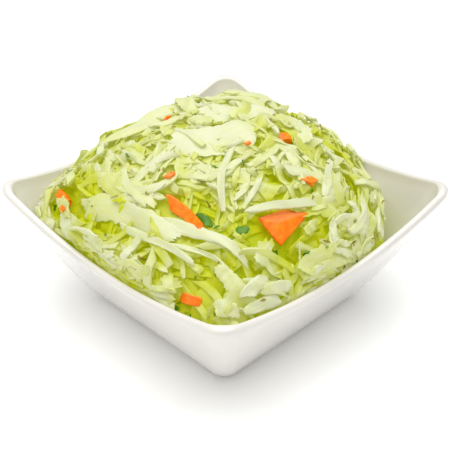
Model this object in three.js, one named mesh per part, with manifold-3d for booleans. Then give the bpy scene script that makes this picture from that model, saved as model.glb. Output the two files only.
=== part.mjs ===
// Coleslaw heaped in its square white bowl.
// Millimetres, +Z up, origin on the table under the middle of the foot.
// The bowl's sides run along X and Y; its front corner points to +X, -Y.

import * as THREE from 'three';
import { mergeVertices } from 'three/addons/utils/BufferGeometryUtils.js';
import { ConvexGeometry } from 'three/addons/geometries/ConvexGeometry.js';
import Module from 'manifold-3d';

const wasm = await Module();
wasm.setup();

// Bowl: a square plan with soft corners, flaring walls and a rim that rises to its corners
const RIM_HALF = 75; // half the outside width at the middle of a side
const RIM_HEIGHT = 52.6; // widest line of the lip at the middle of a side
const CORNER_LIFT = 10.2; // how much higher the lip is at a corner
const LIP = 3.6; // thickness of the rounded lip
const RIM_CORNER_RADIUS = 9.4;
const INNER_CORNER_RADIUS = 9;
const BASE_HALF = 43.2; // where the outer wall would meet the table
const BASE_CORNER_RADIUS = 7.8;
const OUTER_PULL = { half: 50.5, z: 8.55 }; // middle control point of the outer wall's curve
const FLOOR_HALF = 37.5;
const FLOOR_HEIGHT = 6.5;
const INNER_PULL = { half: 48, z: 11.5 }; // middle control point of the inner wall's curve
const CORNER_SPREAD = 2.7; // the corner radius keeps small until near the rim
const LIFT_SPREAD = 3.5; // the corner lift fades quickly down the wall
const FOOT_OUTER = 42.4;
const FOOT_INNER = 37.8;
const FOOT_RECESS = 2.2;
const FOOT_TOP = 0.05; // share of the outer wall that the foot takes over
const SIDE_STEPS = 6;
const CORNER_STEPS = 4;
const LIP_STEPS = 4;
const WALL_STEPS = [0.16, 0.32, 0.48, 0.64, 0.78, 0.9]; // shares of the wall's height that have a ring

// Heap: a steep-sided dome that fills the bowl to three walls and stops short of three corners
const HEAP_EDGE = 46; // height where the heap meets its plan outline
const HEAP_DOME = 46; // rise from there to the top
const HEAP_STEEPNESS = 3.45;
const HEAP_WALL = 71; // reach to the middle of three walls
const HEAP_FAR_WALL = 68; // reach towards the +Y wall, which it doesn't touch
const HEAP_RIGHT = 75; // reach to the +X +Y corner
const HEAP_LEFT = 105; // reach to the -X -Y corner
const HEAP_BACK = 78.5; // reach to the -X +Y corner
const HEAP_FRONT = 120; // reach to the +X -Y corner
const HEAP_SQUARENESS = 7;
const HEAP_SKIRT = 1.12; // the dome runs on past its outline, and the bowl cuts it there
const HEAP_LUMP = 1.5;
const HEAP_SLOPE_STEP = 4; // plan distance over which the heap's slope is read
const HEAP_ROUND_STEPS = 28;
const HEAP_RINGS = 6;
const CORE_DROP = 2.6; // the bare core lies this far under the heap's surface
const GAP = 0.5; // between the slaw and the glaze
const CLEARANCE = 0.35; // between the slaw and the carrot pieces
const HEADROOM = 130; // above anything in the bowl
const DEEP_POINT = -40; // lower pole of the dome, far below the bowl that cuts it

// Slaw: cut cabbage, most of it narrow shreds, some of it broader bits of leaf
const SEED = 7;
const SHRED = { count: 66, length: [15, 34], width: [3, 4.8], thick: 1.7, tilt: 0.16, along: 3, across: 1 };
const LEAF = { count: 22, length: [14, 24], width: [7, 11], thick: 1.3, tilt: 0.22, along: 3, across: 1 };
const HERB = { every: 8, length: [2.2, 4.2], width: 1.1 };
const SINK = 2.4; // depth of a piece's ends under the heap's surface
const PLAIN = { along: 4, across: 1, arch: 0.4, point: 0.35, rise: [-SINK, -SINK] }; // unless a piece says
const RIPPLE = { along: 7, across: 5 }; // turns of a leaf's ripple in radians, over its length and its width
const ENDS = { width: [0.8, 1.1], arch: [0.3, 1.2], wave: [0, 0.5] }; // of the random pieces
const SPREAD = 0.97; // share of the heap's plan that the random pieces are spread over
const BEND = 0.22; // largest sideways bow of a random piece, as a share of half its length
const TWIST = 0.9; // largest turn about its length from end to end, in radians
const ROLL = 0.45; // largest lean to one side, in radians
const CROSSING = 0.001; // cubic millimetres that count as touching
const TRIES = 5;
const SHORTER = 0.86; // what a piece that crosses something keeps of its length at each try
const INWARDS = 0.95; // and of its distance from the middle, where the bowl is in its way

const CABBAGE = 0xdfe0a0;
const CARROT = 0xff6a12;
const PORCELAIN = 0xf6f4ef;
const GOLDEN_ANGLE = Math.PI * (3 - Math.sqrt(5));
const UP = new THREE.Vector3(0, 0, 1);

function lerp(a, b, t) {
  return a + (b - a) * t;
}

// Quadratic curve through a start, towards a pull, to an end
function curve(start, pull, end, t) {
  return (1 - t) * (1 - t) * start + 2 * t * (1 - t) * pull + t * t * end;
}

// The same numbers in the same order for one seed
function drawer(seed) {
  let state = seed;
  return () => {
    state = (state + 0x6d2b79f5) | 0;
    let t = Math.imul(state ^ (state >>> 15), 1 | state);
    t = (t + Math.imul(t ^ (t >>> 7), 61 | t)) ^ t;
    return ((t ^ (t >>> 14)) >>> 0) / 4294967296;
  };
}

// One ring of a square plan with round corners, anticlockwise from above.
// The lift grows with the square of the distance from the middle of a side.
function squareRing({ half, radius, z, lift }) {
  const ring = [];
  const straight = half - radius;
  const reach = half - radius / 2;
  for (let side = 0; side < 4; side++) {
    const turn = side * Math.PI / 2;
    const place = (x, y, run) => {
      const rise = lift * (run / reach) ** 2;
      ring.push(new THREE.Vector3(x, y, z + rise).applyAxisAngle(UP, turn));
    };
    for (let i = 0; i < SIDE_STEPS; i++) {
      const y = lerp(-straight, straight, i / SIDE_STEPS);
      place(half, y, Math.abs(y));
    }
    for (let i = 0; i < CORNER_STEPS; i++) {
      const angle = Math.PI / 2 * i / CORNER_STEPS;
      const run = straight + radius / 2 * Math.sin(2 * angle);
      place(straight + radius * Math.cos(angle), straight + radius * Math.sin(angle), run);
    }
  }
  return ring;
}

// Closed skin over rings of equal count, from a lower pole out, up and in to an upper pole
function skin(lowerPole, rings, upperPole) {
  const around = rings[0].length;
  const points = [lowerPole, ...rings.flat(), upperPole];
  const last = points.length - 1;
  const faces = [];
  for (let i = 0; i < around; i++) {
    const next = (i + 1) % around;
    faces.push(0, 1 + next, 1 + i);
    for (let k = 0; k < rings.length - 1; k++) {
      const low = 1 + k * around;
      const high = low + around;
      faces.push(low + i, low + next, high + next, low + i, high + next, high + i);
    }
    const top = 1 + (rings.length - 1) * around;
    faces.push(top + i, top + next, last);
  }
  const geometry = new THREE.BufferGeometry().setFromPoints(points);
  geometry.setIndex(faces);
  return geometry;
}

function solid(geometry) {
  const bare = geometry.clone();
  bare.deleteAttribute('normal');
  bare.deleteAttribute('uv');
  const merged = mergeVertices(bare, 1e-4);
  return new wasm.Manifold(new wasm.Mesh({
    numProp: 3,
    vertProperties: Float32Array.from(merged.attributes.position.array),
    triVerts: Uint32Array.from(merged.index.array),
  }));
}

function geometryOf(body) {
  const mesh = body.getMesh();
  const geometry = new THREE.BufferGeometry();
  geometry.setAttribute('position', new THREE.BufferAttribute(Float32Array.from(mesh.vertProperties), 3));
  geometry.setIndex(Array.from(mesh.triVerts));
  return geometry;
}

// Largest connected piece: a loose scrap is dropped, and a sealed hollow is filled
function largest(body) {
  return body.decompose().reduce((a, b) => (b.volume() > a.volume() ? b : a));
}

// The wall's rings at a share t of its height
function outerRing(t) {
  return {
    half: curve(BASE_HALF, OUTER_PULL.half, RIM_HALF, t),
    radius: lerp(BASE_CORNER_RADIUS, RIM_CORNER_RADIUS, t ** CORNER_SPREAD),
    z: curve(0, OUTER_PULL.z, RIM_HEIGHT, t),
    lift: CORNER_LIFT * t ** LIFT_SPREAD,
  };
}

function innerRing(t, gap = 0) {
  return {
    half: curve(FLOOR_HALF, INNER_PULL.half, RIM_HALF - LIP, t) - gap,
    radius: lerp(BASE_CORNER_RADIUS, INNER_CORNER_RADIUS, t ** CORNER_SPREAD),
    z: curve(FLOOR_HEIGHT, INNER_PULL.z, RIM_HEIGHT, t) + gap * (1 - t),
    lift: CORNER_LIFT * t ** LIFT_SPREAD,
  };
}

// Bowl: underside of the foot, foot ring, outer wall, rounded lip, inner wall, floor
function bowlGeometry() {
  const foot = (half, z) => ({ half, radius: BASE_CORNER_RADIUS, z, lift: 0 });
  const lip = [];
  for (let i = 1; i < LIP_STEPS; i++) {
    const angle = Math.PI * i / LIP_STEPS;
    lip.push({
      half: RIM_HALF - LIP / 2 + LIP / 2 * Math.cos(angle),
      radius: lerp(RIM_CORNER_RADIUS, INNER_CORNER_RADIUS, i / LIP_STEPS),
      z: RIM_HEIGHT + LIP / 2 * Math.sin(angle),
      lift: CORNER_LIFT,
    });
  }
  const rings = [
    foot(FOOT_INNER, FOOT_RECESS),
    foot(FOOT_INNER, 0),
    foot(FOOT_OUTER, 0),
    ...[FOOT_TOP, ...WALL_STEPS, 1].map((t) => outerRing(t)),
    ...lip,
    ...[0, ...WALL_STEPS, 1].reverse().map((t) => innerRing(t)),
  ].map(squareRing);
  return skin(new THREE.Vector3(0, 0, FOOT_RECESS), rings, new THREE.Vector3(0, 0, FLOOR_HEIGHT));
}

// The room inside the bowl, a gap clear of the glaze and open upwards
function roomSolid() {
  const top = { ...innerRing(1, GAP), z: HEADROOM, lift: 0 };
  const rings = [...[0, ...WALL_STEPS, 1].map((t) => innerRing(t, GAP)), top].map(squareRing);
  return solid(skin(
    new THREE.Vector3(0, 0, FLOOR_HEIGHT + GAP),
    rings,
    new THREE.Vector3(0, 0, HEADROOM),
  ));
}

// 0 at the heap's middle, 1 on its plan outline of four walls and four corner reaches
function heapShare(x, y) {
  const right = (x + y) / Math.SQRT2;
  const back = (y - x) / Math.SQRT2;
  const reaches = [
    Math.abs(x) / HEAP_WALL,
    Math.max(y / HEAP_FAR_WALL, -y / HEAP_WALL),
    Math.max(right / HEAP_RIGHT, -right / HEAP_LEFT),
    Math.max(back / HEAP_BACK, -back / HEAP_FRONT),
  ];
  const sum = reaches.reduce((total, reach) => total + reach ** HEAP_SQUARENESS, 0);
  return sum ** (1 / HEAP_SQUARENESS);
}

function heapHeight(x, y) {
  const lumps = HEAP_LUMP * (Math.sin(x / 7 + 1) * Math.sin(y / 8) + Math.sin((x + y) / 13) * 0.7);
  return HEAP_EDGE + HEAP_DOME * (1 - heapShare(x, y) ** HEAP_STEEPNESS) + lumps;
}

function onHeap(x, y) {
  return new THREE.Vector3(x, y, heapHeight(x, y));
}

function heapNormal(x, y) {
  const step = HEAP_SLOPE_STEP;
  const slopeX = (heapHeight(x + step, y) - heapHeight(x - step, y)) / (2 * step);
  const slopeY = (heapHeight(x, y + step) - heapHeight(x, y - step)) / (2 * step);
  return new THREE.Vector3(-slopeX, -slopeY, 1).normalize();
}

// Bare core of the heap: the dome, cut by the bowl
function coreSolid(room) {
  const rings = [];
  for (let k = HEAP_RINGS; k >= 1; k--) {
    const share = HEAP_SKIRT * k / HEAP_RINGS;
    const ring = [];
    for (let i = 0; i < HEAP_ROUND_STEPS; i++) {
      const angle = 2 * Math.PI * i / HEAP_ROUND_STEPS;
      const reach = share / heapShare(Math.cos(angle), Math.sin(angle));
      ring.push(onHeap(reach * Math.cos(angle), reach * Math.sin(angle)).addScaledVector(UP, -CORE_DROP));
    }
    rings.push(ring);
  }
  const top = onHeap(0, 0).addScaledVector(UP, -CORE_DROP);
  const dome = solid(skin(new THREE.Vector3(0, 0, DEEP_POINT), rings, top));
  return dome.intersect(room);
}

// A cut piece laid over the heap from one plan point to another.
// A long box of segments is bent: arch lifts its middle off the heap, bow bends it sideways,
// twist turns it about its length, wave ripples it, point narrows its ends, rise lifts them.
function pieceGeometry(piece) {
  const { along: steps, across: lanes, arch: lift, point: narrowing, rise } = { ...PLAIN, ...piece };
  const start = onHeap(...piece.from).addScaledVector(UP, rise[0]);
  const end = onHeap(...piece.to).addScaledVector(UP, rise[1]);
  const middleX = (piece.from[0] + piece.to[0]) / 2;
  const middleY = (piece.from[1] + piece.to[1]) / 2;
  const chord = end.clone().sub(start);
  const along = chord.clone().normalize();
  const off = heapNormal(middleX, middleY);
  off.addScaledVector(along, -off.dot(along)).normalize();
  const across = new THREE.Vector3().crossVectors(off, along);
  const halfway = start.clone().add(end).multiplyScalar(0.5);
  const swell = onHeap(middleX, middleY).sub(halfway).dot(off);
  const arch = Math.max(swell, 0) + lift;
  const geometry = new THREE.BoxGeometry(1, 1, 1, steps, lanes, 1);
  const position = geometry.attributes.position;
  const point = new THREE.Vector3();
  for (let i = 0; i < position.count; i++) {
    point.fromBufferAttribute(position, i);
    const s = point.x + 0.5;
    const hump = 4 * s * (1 - s);
    const turn = (piece.twist ?? 0) * (s - 0.5) + (piece.roll ?? 0);
    const narrow = 1 - narrowing * Math.abs(2 * s - 1) ** 3;
    const side = point.y * lerp(piece.width[0], piece.width[1], s) * narrow;
    const depth = point.z * piece.thick;
    const swing = RIPPLE.along * s + RIPPLE.across * point.y + (piece.phase ?? 0);
    const ripple = (piece.wave ?? 0) * Math.sin(swing);
    const sideways = (piece.bow ?? 0) * hump + side * Math.cos(turn) - depth * Math.sin(turn);
    const outwards = arch * hump + ripple + side * Math.sin(turn) + depth * Math.cos(turn);
    const at = start.clone().addScaledVector(chord, s);
    at.addScaledVector(across, sideways).addScaledVector(off, outwards);
    position.setXYZ(i, at.x, at.y, at.z);
  }
  return geometry;
}

// A rounded chunk: the hull of a small ball at each corner
function chunkGeometry(corners, roundness) {
  const points = [];
  for (const corner of corners) {
    const ball = new THREE.IcosahedronGeometry(roundness, 0).attributes.position;
    for (let i = 0; i < ball.count; i++) {
      points.push(new THREE.Vector3().fromBufferAttribute(ball, i).add(corner));
    }
  }
  return new ConvexGeometry(points);
}

// Shreds and leaf scraps that the eye picks out, by the plan points that they run between
const PICKED = [
  // the long leaf that crosses the front, and the strips of its tail
  { from: [-22, -56], to: [26, -50], width: [12, 8], thick: 1.4, arch: 1.2, bow: 2, wave: 0.6, along: 9 },
  { from: [14, -52], to: [54, -40], width: [6, 3.4], thick: 1.4, arch: 1.4, bow: 2, along: 7 },
  // the thick shred over the carrot wedge
  { from: [40, -36], to: [53, 0], width: [4, 3.6], thick: 2, arch: 2.2, rise: [1.5, 0.8], bow: -1.5 },
  // the long loop down from the top
  { from: [3, 13], to: [33, -34], width: [3.4, 4.2], thick: 1.6, arch: 1.6, bow: -5, along: 10 },
  // the pointed leaf that stands up at the back
  { from: [-4, 33], to: [-8, 46], width: [9, 2], thick: 1.1, rise: [-1, 8], point: 0.6, roll: 0.5 },
  // the leaf tip that reaches out at the left
  { from: [-40, 0], to: [-46, -31], width: [8, 4], thick: 1.2, rise: [0, 6], point: 0.7, wave: 0.4 },
  // the curled scrap beside it
  { from: [-40, 12.5], to: [-27, 8.5], width: [6, 7], thick: 1.2, rise: [3, 1], twist: 1.4, roll: 0.5 },
  // the strip along the back of the top
  { from: [-36, 22], to: [-10, 35], width: [4.4, 4], thick: 1.5, rise: [2, 1.5], arch: 1 },
  // the broad leaf across the top
  { from: [-9, -25], to: [14, 4], width: [11, 15], thick: 1.1, arch: 0.8, wave: 0.6, across: 2 },
  // the upturned loop on the left
  { from: [-19, -43], to: [3.5, -30], width: [3.6, 3.6], thick: 1.6, bow: -11, arch: 0.8, along: 9 },
  // the rolled leaf at the right of the top
  { from: [4, 35], to: [24, 25], width: [7, 7.5], thick: 1.4, rise: [1, 1], roll: 0.6, arch: 1.5 },
  // shreds that hang down the right flank
  { from: [51, 20], to: [60, 21], width: [3.4, 3], thick: 1.5, arch: 1.2 },
  { from: [53, 4], to: [63, 1], width: [3.6, 3], thick: 1.5, arch: 1 },
  { from: [34, 33], to: [49, 9], width: [3.4, 3.8], thick: 1.5, arch: 1.2 },
  { from: [40, 36], to: [48, 50], width: [3.4, 3], thick: 1.4, arch: 1.5 },
  { from: [55, 12], to: [62, 26], width: [7, 11], thick: 1.2, wave: 0.6, across: 2, point: 0.1 },
  // short shreds at the left of the front
  { from: [-16, -62], to: [6, -57], width: [3.2, 3.4], thick: 1.5, arch: 0.8 },
  { from: [-8, -57], to: [-6, -67], width: [3.4, 4], thick: 1.5, arch: 1.2 },
  // leaf bits and a yellow rib by the front corner
  { from: [50, -57], to: [59, -56], width: [9, 6], thick: 1.2, across: 2, roll: -0.2 },
  { from: [62, -52], to: [66, -36], width: [5, 6], thick: 2.2 },
  // pale flaps at the left
  { from: [-54, -48], to: [-46, -58], width: [7, 6], thick: 1.4, rise: [1.5, 0], roll: 0.3 },
  { from: [-40, -56], to: [-30, -63], width: [8, 6], thick: 1.3, rise: [1, 0], roll: 0.3 },
  { from: [-26, -46], to: [-12, -52], width: [11, 9], thick: 1.3, arch: 1, across: 2 },
];

// Carrot pieces that lie among the shreds, each half sunk in the heap
const WEDGE_CORNERS = {
  left: [46.2, -19, 82.6],
  right: [52, -1.4, 77.2],
  front: [51.2, -15.8, 79.6],
  tip: [56, -20.4, 72.2],
  back: [43.5, -7, 80],
  root: [46, -11, 70.5],
};
const WEDGE_ROUNDNESS = 0.6;
const CARROTS = {
  carrot_slice: {
    from: [10.5, -43.5], to: [32, -46.5], width: [6.5, 3.5], thick: 3,
    arch: 0.6, bow: 1.6, roll: 0.35, rise: [-1, -1],
  },
  carrot_curl: {
    from: [-52.5, -54.3], to: [-42, -59.5], width: [4.2, 5.4], thick: 3,
    arch: 0.6, rise: [0, -1],
  },
  carrot_stick: {
    from: [38.5, -64.4], to: [47.5, -60.4], width: [4.4, 4.4], thick: 3.4,
    arch: 0.3, point: 0.15, rise: [-1, -1],
  },
  carrot_slab: {
    from: [16, 14.5], to: [17.8, 25.5], width: [5, 5.6], thick: 3.4,
    arch: 0.4, rise: [-0.6, -0.6],
  },
};
const CARROT_STEPS = { along: 8, across: 2 };
const CARROT_ROOM = { chunk: 1.3, width: 3, thick: 2.4 }; // in clearances, past the piece's own size

// Carrot bits too small to lift out, fused to the slaw and as deep as the shreds
const BIT = { thick: 5, rise: [-1.2, -1.2], along: 1 };
const CARROT_BITS = [
  { from: [42.5, 6.5], to: [43.2, 11.5], width: [4.5, 2.5] },
  { from: [37, 51.5], to: [39.5, 53.5], width: [3, 3] },
  { from: [3.4, -38], to: [3.7, -34.5], width: [2.6, 2.2] },
  { from: [-36, -5], to: [-35.5, -0.8], width: [2, 1.6] },
  { from: [14.2, -1.3], to: [14.6, 1.2], width: [1.8, 1.6] },
  { from: [-36.5, -59.2], to: [-34, -60.4], width: [2.2, 2] },
];

const draw = drawer(SEED);
const between = ([low, high]) => lerp(low, high, draw());
const signed = (size) => size * (2 * draw() - 1);

// Plan points spread evenly over the heap, from its middle out, by the golden angle
function spread(index, count, shift) {
  const share = SPREAD * Math.sqrt((index + 0.5) / count);
  const angle = index * GOLDEN_ANGLE + shift;
  const reach = share / heapShare(Math.cos(angle), Math.sin(angle));
  return [reach * Math.cos(angle), reach * Math.sin(angle)];
}

// Random cut pieces of one kind. The flanks are steep, so a piece there covers less plan.
function scatter(kind, shift) {
  const pieces = [];
  for (let i = 0; i < kind.count; i++) {
    const [x, y] = spread(i, kind.count, shift);
    const heading = 2 * Math.PI * draw();
    const flat = heapNormal(x, y).z;
    const half = between(kind.length) * (0.5 + 0.5 * flat) / 2;
    const tilt = signed(kind.tilt) * half;
    const width = between(kind.width);
    pieces.push({
      from: [x - half * Math.cos(heading), y - half * Math.sin(heading)],
      to: [x + half * Math.cos(heading), y + half * Math.sin(heading)],
      width: [width, width * between(ENDS.width)],
      thick: kind.thick,
      rise: [tilt - SINK, -tilt - SINK],
      arch: between(ENDS.arch),
      bow: signed(BEND) * half,
      twist: signed(TWIST),
      roll: signed(ROLL),
      wave: between(ENDS.wave),
      phase: 2 * Math.PI * draw(),
      along: kind.along,
      across: kind.across,
    });
  }
  return pieces;
}

// A sliver of dried herb: a stretched octahedron, half sunk in the top of a piece
function herbGeometry(piece) {
  const x = (piece.from[0] + piece.to[0]) / 2;
  const y = (piece.from[1] + piece.to[1]) / 2;
  const sliver = new THREE.OctahedronGeometry(0.5);
  sliver.scale(between(HERB.length), HERB.width, HERB.width);
  sliver.rotateZ(Math.PI * draw());
  const stand = new THREE.Quaternion().setFromUnitVectors(UP, heapNormal(x, y));
  sliver.applyQuaternion(stand);
  const on = (piece.arch ?? PLAIN.arch) + piece.thick / 2;
  const at = onHeap(x, y).addScaledVector(heapNormal(x, y), on);
  return sliver.translate(at.x, at.y, at.z);
}

// A piece that crosses the bowl or a carrot is shortened and moved inwards, or left out
function fitted(piece, room, toppings) {
  let { from, to } = piece;
  for (let attempt = 0; attempt < TRIES; attempt++) {
    const body = solid(pieceGeometry({ ...piece, from, to }));
    const outside = body.subtract(room).volume();
    const inTopping = toppings.some((topping) => body.intersect(topping).volume() > CROSSING);
    if (outside < CROSSING && !inTopping) return body;
    const pull = outside < CROSSING ? 1 : INWARDS;
    const middle = [(from[0] + to[0]) / 2, (from[1] + to[1]) / 2];
    from = from.map((value, axis) => pull * lerp(middle[axis], value, SHORTER));
    to = to.map((value, axis) => pull * lerp(middle[axis], value, SHORTER));
  }
  return null;
}

function named(name, geometry, color, roughness) {
  const material = new THREE.MeshStandardMaterial({ color, roughness, metalness: 0 });
  const mesh = new THREE.Mesh(geometry, material);
  mesh.name = name;
  return mesh;
}

// A geometry grown about its middle, by at least a clearance on every side
function grown(geometry, clearance) {
  const copy = geometry.clone();
  copy.computeBoundingBox();
  const middle = copy.boundingBox.getCenter(new THREE.Vector3());
  const size = copy.boundingBox.getSize(new THREE.Vector3());
  const by = (length) => 1 + CARROT_ROOM.thick * clearance / length;
  copy.translate(-middle.x, -middle.y, -middle.z);
  copy.scale(by(size.x), by(size.y), by(size.z));
  return copy.translate(middle.x, middle.y, middle.z);
}

const room = roomSolid();

const wedgeCorners = Object.values(WEDGE_CORNERS).map((corner) => new THREE.Vector3(...corner));
const carrots = { carrot_wedge: chunkGeometry(wedgeCorners, WEDGE_ROUNDNESS) };
const carrotRoom = [solid(chunkGeometry(wedgeCorners, WEDGE_ROUNDNESS + CARROT_ROOM.chunk * CLEARANCE))];
for (const [name, piece] of Object.entries(CARROTS)) {
  const shape = { ...piece, ...CARROT_STEPS };
  carrots[name] = pieceGeometry(shape);
  const width = piece.width.map((value) => value + CARROT_ROOM.width * CLEARANCE);
  const wider = { ...shape, width, thick: piece.thick + CARROT_ROOM.thick * CLEARANCE };
  carrotRoom.push(solid(grown(pieceGeometry(wider), CLEARANCE)));
}

let slaw = coreSolid(room);
for (const topping of carrotRoom) slaw = slaw.subtract(topping);

const bits = CARROT_BITS.map((bit) => ({ ...bit, ...BIT }));
const cut = [...PICKED, ...scatter(LEAF, 0.4), ...scatter(SHRED, 0)];
for (const [index, piece] of [...cut, ...bits].entries()) {
  const body = fitted(piece, room, carrotRoom);
  if (!body) continue;
  slaw = slaw.add(body);
  if (index % HERB.every > 0) continue;
  const sliver = solid(herbGeometry(piece));
  if (carrotRoom.every((topping) => sliver.intersect(topping).volume() < CROSSING)) slaw = slaw.add(sliver);
}
slaw = largest(slaw);

const group = new THREE.Group();
group.add(named('bowl', bowlGeometry(), PORCELAIN, 0.15));
group.add(named('slaw', geometryOf(slaw), CABBAGE, 0.45));
for (const [name, geometry] of Object.entries(carrots)) {
  group.add(named(name, geometryOf(solid(geometry)), CARROT, 0.4));
}

export default group;
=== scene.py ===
import math
import bpy
import numpy as np
from mathutils import Matrix


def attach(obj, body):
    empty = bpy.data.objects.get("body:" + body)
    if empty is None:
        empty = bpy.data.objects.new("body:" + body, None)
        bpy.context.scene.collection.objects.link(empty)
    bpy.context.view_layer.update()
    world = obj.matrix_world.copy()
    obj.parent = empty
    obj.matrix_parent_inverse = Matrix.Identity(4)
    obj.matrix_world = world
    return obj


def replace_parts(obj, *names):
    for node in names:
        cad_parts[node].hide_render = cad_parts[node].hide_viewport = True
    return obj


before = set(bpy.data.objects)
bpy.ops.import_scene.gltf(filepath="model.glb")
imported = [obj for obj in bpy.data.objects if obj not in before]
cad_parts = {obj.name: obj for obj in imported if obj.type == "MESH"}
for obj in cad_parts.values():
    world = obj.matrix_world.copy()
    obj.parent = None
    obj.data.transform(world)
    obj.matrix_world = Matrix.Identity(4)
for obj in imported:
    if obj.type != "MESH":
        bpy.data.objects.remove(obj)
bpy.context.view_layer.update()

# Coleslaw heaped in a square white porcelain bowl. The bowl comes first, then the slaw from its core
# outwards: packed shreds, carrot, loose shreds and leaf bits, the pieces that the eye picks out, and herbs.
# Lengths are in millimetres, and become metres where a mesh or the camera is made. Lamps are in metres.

# Bowl
# The real one is slip-cast porcelain, fired with a clear glaze that pools a little thicker in the corners.
# Its four flaring walls rise to raised corners, and the lip is a plain half round.
# A pull is the half width and height that a wall's curve bends towards. A spread is the power of the height's
# share by which a corner opens or lifts. The foot's top is a share of the wall's height.
MM = 0.001
RIM_HALF = 75.0
RIM_HEIGHT = 52.6
CORNER_LIFT = 10.2
LIP = 3.6
RIM_RADIUS = 9.4
INNER_RADIUS = 9.0
BASE_HALF = 43.2
BASE_RADIUS = 7.8
OUTER_PULL = (50.5, 8.55)
FLOOR_HALF = 37.5
FLOOR_HEIGHT = 6.5
INNER_PULL = (48.0, 11.5)
RADIUS_SPREAD = 2.7
LIFT_SPREAD = 3.5
FOOT_OUTER = 42.4
FOOT_INNER = 37.8
FOOT_RECESS = 2.2
FOOT_TOP = 0.05
SIDE_STEPS = 26
CORNER_STEPS = 12
WALL_STEPS = 26
LIP_STEPS = 10


def bend(start, pull, end, t):
    """Quadratic curve from start, towards pull, to end, at shares t."""
    return (1 - t) ** 2 * start + 2 * t * (1 - t) * pull + t ** 2 * end


def square_rings(half, radius, height, lift):
    """Rings of a square plan with round corners, one for each entry of the four arrays. Each side is a
    straight run and a quarter circle. The height grows by the lift times the squared distance from mid side,
    with the distance as a share of the side's half length."""
    run = np.linspace(-1, 1, SIDE_STEPS, endpoint=False)
    turn = np.linspace(0, np.pi / 2, CORNER_STEPS, endpoint=False)
    straight = (half - radius)[:, None]
    radius = radius[:, None]
    x = np.hstack([np.repeat(straight + radius, SIDE_STEPS, 1), straight + radius * np.cos(turn)])
    y = np.hstack([straight * run, straight + radius * np.sin(turn)])
    along = np.hstack([np.abs(straight * run), straight + radius / 2 * np.sin(2 * turn)])
    z = height[:, None] + lift[:, None] * (along / (straight + radius / 2)) ** 2
    quarter = np.arange(4) * np.pi / 2
    cos, sin = np.cos(quarter)[:, None], np.sin(quarter)[:, None]
    rings = [x[:, None] * cos - y[:, None] * sin, x[:, None] * sin + y[:, None] * cos]
    rings.append(np.repeat(z[:, None], 4, 1))
    return np.stack(rings, -1).reshape(len(half), -1, 3)


def skin_faces(rings, around):
    """Four-cornered faces between each ring of points and the next, closed all the way round."""
    ring = np.arange(rings - 1)[:, None] * around
    here = np.arange(around)
    after = (here + 1) % around
    corners = [ring + here, ring + after, ring + around + after, ring + around + here]
    return np.stack(corners, -1).reshape(-1, 4)


def end_fans(rings, around):
    """Triangles that close a skin of rings at both ends, towards two points that follow the rings' points."""
    here = np.arange(around)
    after = (here + 1) % around
    last = (rings - 1) * around
    end = np.full(around, rings * around)
    return np.vstack([np.stack([end, after, here], 1), np.stack([last + here, last + after, end + 1], 1)])


def wall_rings(t, floor, pull, rim, radius):
    """Half width, corner radius, height and corner lift of a wall at shares t of its height."""
    half = bend(floor[0], pull[0], rim, t)
    corner = BASE_RADIUS + (radius - BASE_RADIUS) * t ** RADIUS_SPREAD
    return np.array([half, corner, bend(floor[1], pull[1], RIM_HEIGHT, t), CORNER_LIFT * t ** LIFT_SPREAD])


def mesh_piece(name, points, quads, triangles=(), uv=None, **values):
    """A smooth mesh piece from points in millimetres, faces by number, and one value a point by name."""
    quads = np.asarray(quads, np.int32).reshape(-1, 4)
    triangles = np.asarray(triangles, np.int32).reshape(-1, 3)
    corners = np.concatenate([quads.ravel(), triangles.ravel()])
    starts = np.concatenate([np.arange(len(quads)) * 4, quads.size + np.arange(len(triangles)) * 3])
    mesh = bpy.data.meshes.new(name)
    mesh.vertices.add(len(points))
    mesh.vertices.foreach_set("co", (np.asarray(points) * MM).astype(np.float32).ravel())
    mesh.loops.add(len(corners))
    mesh.loops.foreach_set("vertex_index", corners.astype(np.int32))
    mesh.polygons.add(len(starts))
    mesh.polygons.foreach_set("loop_start", starts.astype(np.int32))
    mesh.update(calc_edges=True)
    mesh.polygons.foreach_set("use_smooth", np.ones(len(starts), bool))
    if uv is not None:
        layer = mesh.uv_layers.new(name="cut")
        layer.data.foreach_set("uv", uv[corners].astype(np.float32).ravel())
    for key, value in values.items():
        mesh.attributes.new(key, "FLOAT", "POINT").data.foreach_set("value", value.astype(np.float32).ravel())
    mesh.validate()
    piece = bpy.data.objects.new(name, mesh)
    bpy.context.scene.collection.objects.link(piece)
    return piece


def linear(colour):
    """The linear red, green, blue and alpha of an sRGB hex colour."""
    parts = np.array([int(colour[i:i + 2], 16) for i in (1, 3, 5)]) / 255
    return (*np.where(parts <= 0.04045, parts / 12.92, ((parts + 0.055) / 1.055) ** 2.4), 1.0)


def material(name):
    """A material with nothing in it but its output node, and with it its node tree and that node."""
    made = bpy.data.materials.new(name)
    made.use_nodes = True
    made.node_tree.nodes.clear()
    output = made.node_tree.nodes.new("ShaderNodeOutputMaterial")
    return made, made.node_tree, output


def node(tree, kind, settings=None, **sockets):
    """Adds a node. Settings are its own properties. Sockets are set to values or other nodes' outputs, by
    name with _ for a space, or by number after a _."""
    made = tree.nodes.new(kind)
    for key, value in (settings or {}).items():
        setattr(made, key, value)
    for key, value in sockets.items():
        socket = made.inputs[int(key[1:]) if key[0] == "_" else key.replace("_", " ")]
        if isinstance(value, bpy.types.NodeSocket):
            tree.links.new(value, socket)
        else:
            socket.default_value = value
    return made


def ramp(tree, factor, *stops):
    """A colour ramp through (position, hex colour) stops."""
    made = node(tree, "ShaderNodeValToRGB", _0=factor)
    band = made.color_ramp
    while len(band.elements) < len(stops):
        band.elements.new(0.5)
    for element, (position, colour) in zip(band.elements, stops):
        element.position = position
        element.color = linear(colour)
    return made.outputs["Color"]


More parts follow.
